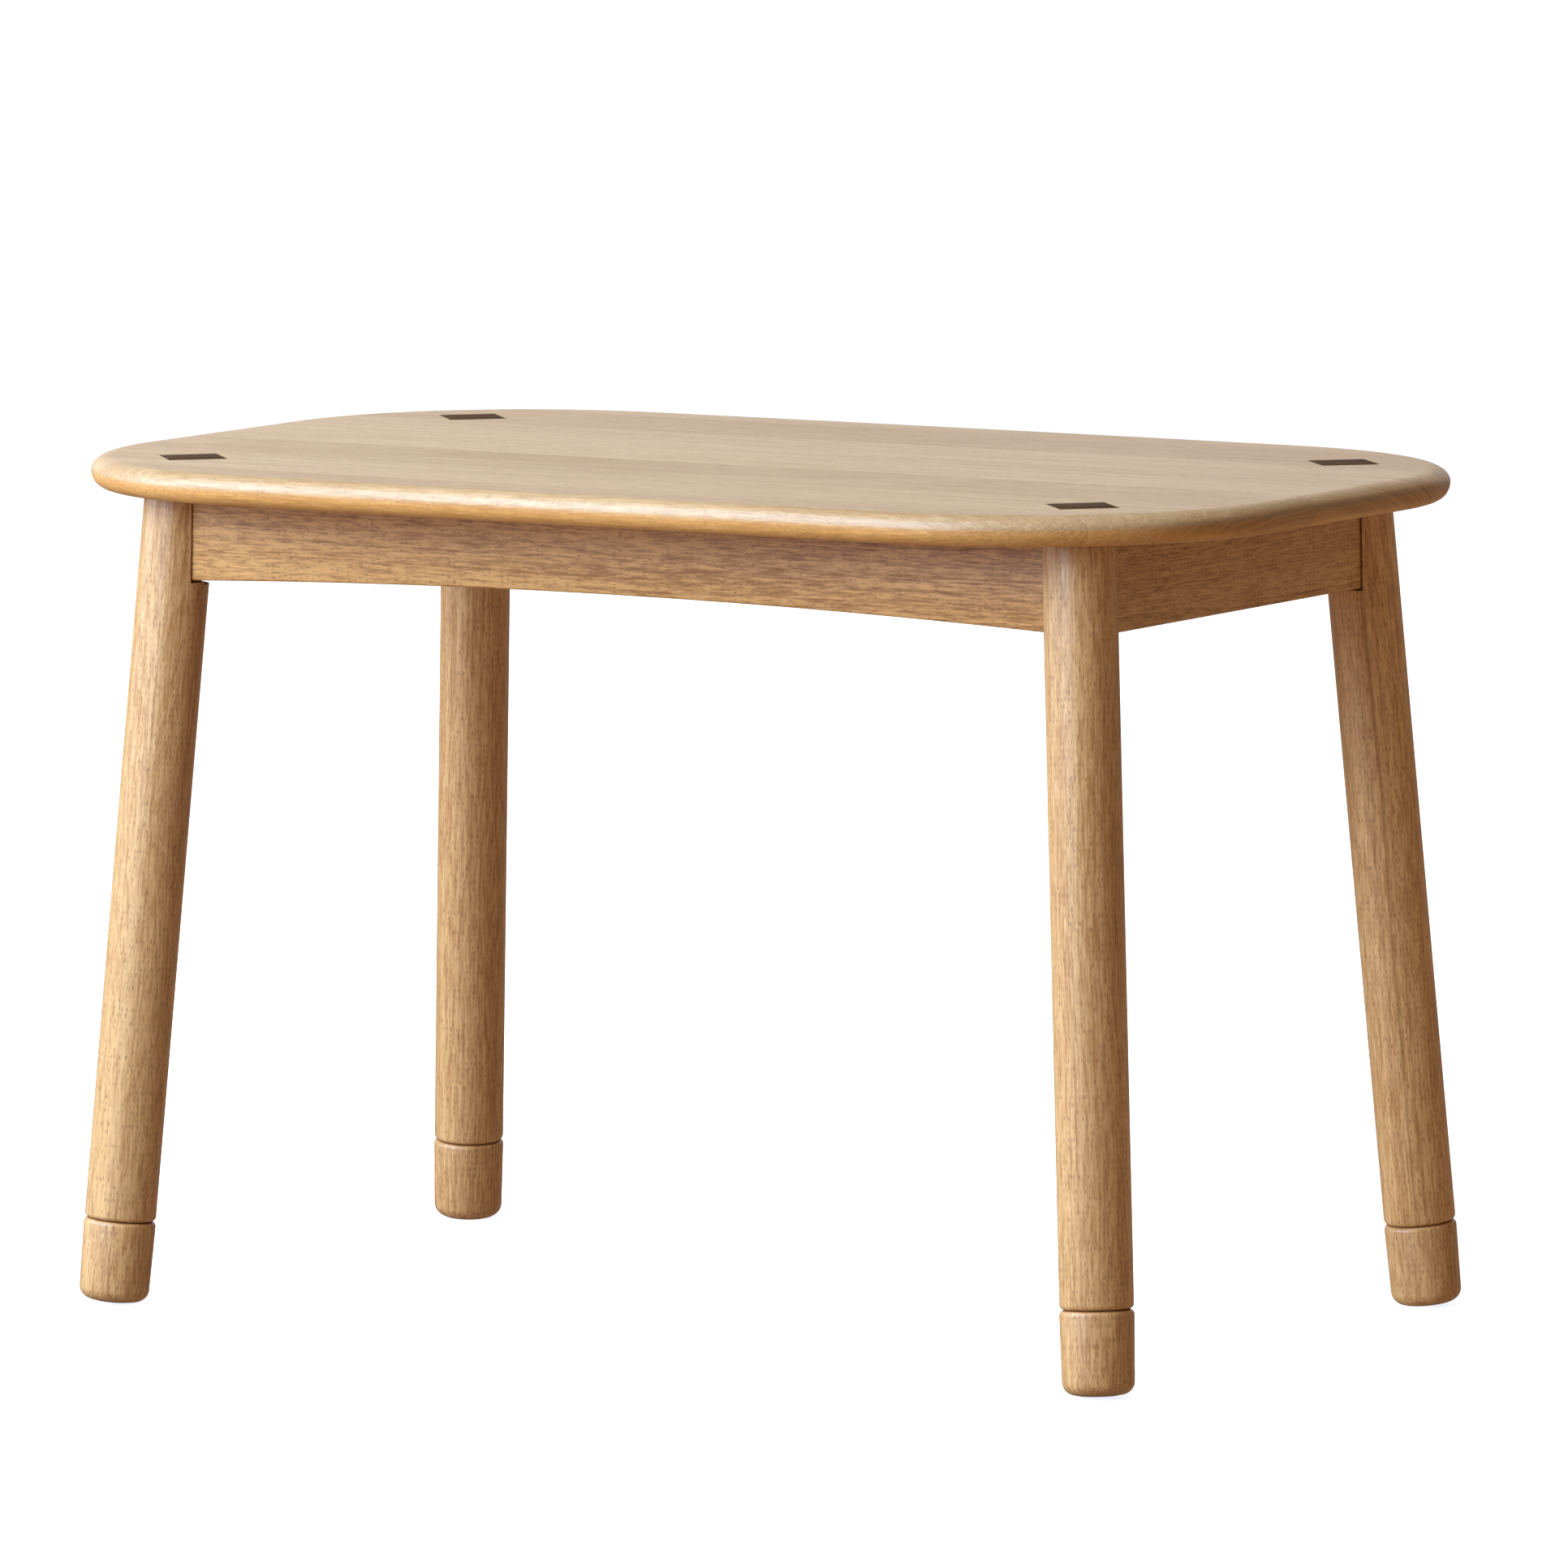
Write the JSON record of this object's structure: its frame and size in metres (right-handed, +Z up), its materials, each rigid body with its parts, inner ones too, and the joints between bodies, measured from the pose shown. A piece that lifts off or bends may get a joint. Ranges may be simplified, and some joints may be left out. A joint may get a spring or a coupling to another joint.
{
  "type": "children's table",
  "caption": "Low children's table in beech: rounded rectangular top with walnut squares over splayed round legs, aprons, and turned feet that screw out to set the height.",
  "frame": {"origin": "on the floor under the middle of the table", "axes": "+X along the long side, +Y to the back, +Z up"},
  "size_m": [0.8, 0.502, 0.512],
  "materials": {
    "beech_top": "clear satin oil on steamed beech, long grain along the top",
    "beech_apron": "clear satin oil, grain along the apron",
    "beech_leg": "clear satin oil, grain along the leg",
    "beech_foot": "clear satin oil, grain along the foot",
    "beech_block": "planed and left bare",
    "walnut": "clear satin oil, flush with the top",
    "steel": "zinc plated",
    "brass": "machined",
    "felt": "pressed wool felt"
  },
  "bodies": {
    "table_frame": {"tabletop": "beech_top", "apron_front": "beech_apron", "apron_back": "beech_apron", "apron_left": "beech_apron", "apron_right": "beech_apron", "inlay_front_left": "walnut", "leg_front_left": "beech_leg", "leg_insert_front_left": "brass", "corner_block_front_left": "beech_block", "leg_bolt_front_left": "steel", "leg_washer_front_left": "steel", "leg_nut_front_left": "steel", "top_screw_front_left": "steel", "long_apron_screw_front_left": "steel", "side_apron_screw_front_left": "steel", "inlay_front_right": "walnut", "leg_front_right": "beech_leg", "leg_insert_front_right": "brass", "corner_block_front_right": "beech_block", "leg_bolt_front_right": "steel", "leg_washer_front_right": "steel", "leg_nut_front_right": "steel", "top_screw_front_right": "steel", "long_apron_screw_front_right": "steel", "side_apron_screw_front_right": "steel", "inlay_back_left": "walnut", "leg_back_left": "beech_leg", "leg_insert_back_left": "brass", "corner_block_back_left": "beech_block", "leg_bolt_back_left": "steel", "leg_washer_back_left": "steel", "leg_nut_back_left": "steel", "top_screw_back_left": "steel", "long_apron_screw_back_left": "steel", "side_apron_screw_back_left": "steel", "inlay_back_right": "walnut", "leg_back_right": "beech_leg", "leg_insert_back_right": "brass", "corner_block_back_right": "beech_block", "leg_bolt_back_right": "steel", "leg_washer_back_right": "steel", "leg_nut_back_right": "steel", "top_screw_back_right": "steel", "long_apron_screw_back_right": "steel", "side_apron_screw_back_right": "steel"},
    "stud_front_left": {"foot_stud_front_left": "steel"},
    "foot_front_left": {"foot_front_left": "beech_foot", "foot_pad_front_left": "felt"},
    "stud_front_right": {"foot_stud_front_right": "steel"},
    "foot_front_right": {"foot_front_right": "beech_foot", "foot_pad_front_right": "felt"},
    "stud_back_left": {"foot_stud_back_left": "steel"},
    "foot_back_left": {"foot_back_left": "beech_foot", "foot_pad_back_left": "felt"},
    "stud_back_right": {"foot_stud_back_right": "steel"},
    "foot_back_right": {"foot_back_right": "beech_foot", "foot_pad_back_right": "felt"}
  },
  "joints": [
    {"name": "stud_slide_front_left", "type": "slide", "parent": "table_frame", "child": "stud_front_left", "axis": [-0.0651, -0.0674, -0.9956], "range_m": [0, 0.02001]},
    {"name": "foot_screw_front_left", "type": "hinge", "parent": "stud_front_left", "child": "foot_front_left", "pos_m": [-0.34186, -0.19372, 0.0509], "axis": [-0.0651, -0.0674, -0.9956], "range_deg": [0, 5760]},
    {"name": "stud_slide_front_right", "type": "slide", "parent": "table_frame", "child": "stud_front_right", "axis": [0.0651, -0.0674, -0.9956], "range_m": [0, 0.02001]},
    {"name": "foot_screw_front_right", "type": "hinge", "parent": "stud_front_right", "child": "foot_front_right", "pos_m": [0.34186, -0.19372, 0.0509], "axis": [0.0651, -0.0674, -0.9956], "range_deg": [0, 5760]},
    {"name": "stud_slide_back_left", "type": "slide", "parent": "table_frame", "child": "stud_back_left", "axis": [-0.0651, 0.0674, -0.9956], "range_m": [0, 0.02001]},
    {"name": "foot_screw_back_left", "type": "hinge", "parent": "stud_back_left", "child": "foot_back_left", "pos_m": [-0.34186, 0.19372, 0.0509], "axis": [-0.0651, 0.0674, -0.9956], "range_deg": [0, 5760]},
    {"name": "stud_slide_back_right", "type": "slide", "parent": "table_frame", "child": "stud_back_right", "axis": [0.0651, 0.0674, -0.9956], "range_m": [0, 0.02001]},
    {"name": "foot_screw_back_right", "type": "hinge", "parent": "stud_back_right", "child": "foot_back_right", "pos_m": [0.34186, 0.19372, 0.0509], "axis": [0.0651, 0.0674, -0.9956], "range_deg": [0, 5760]}
  ],
  "couplings": [
    {"joint": "stud_slide_front_left", "follows": "foot_screw_front_left", "m_per_rad": 0.00019894},
    {"joint": "stud_slide_front_right", "follows": "foot_screw_front_right", "m_per_rad": 0.00019894},
    {"joint": "stud_slide_back_left", "follows": "foot_screw_back_left", "m_per_rad": 0.00019894},
    {"joint": "stud_slide_back_right", "follows": "foot_screw_back_right", "m_per_rad": 0.00019894}
  ]
}
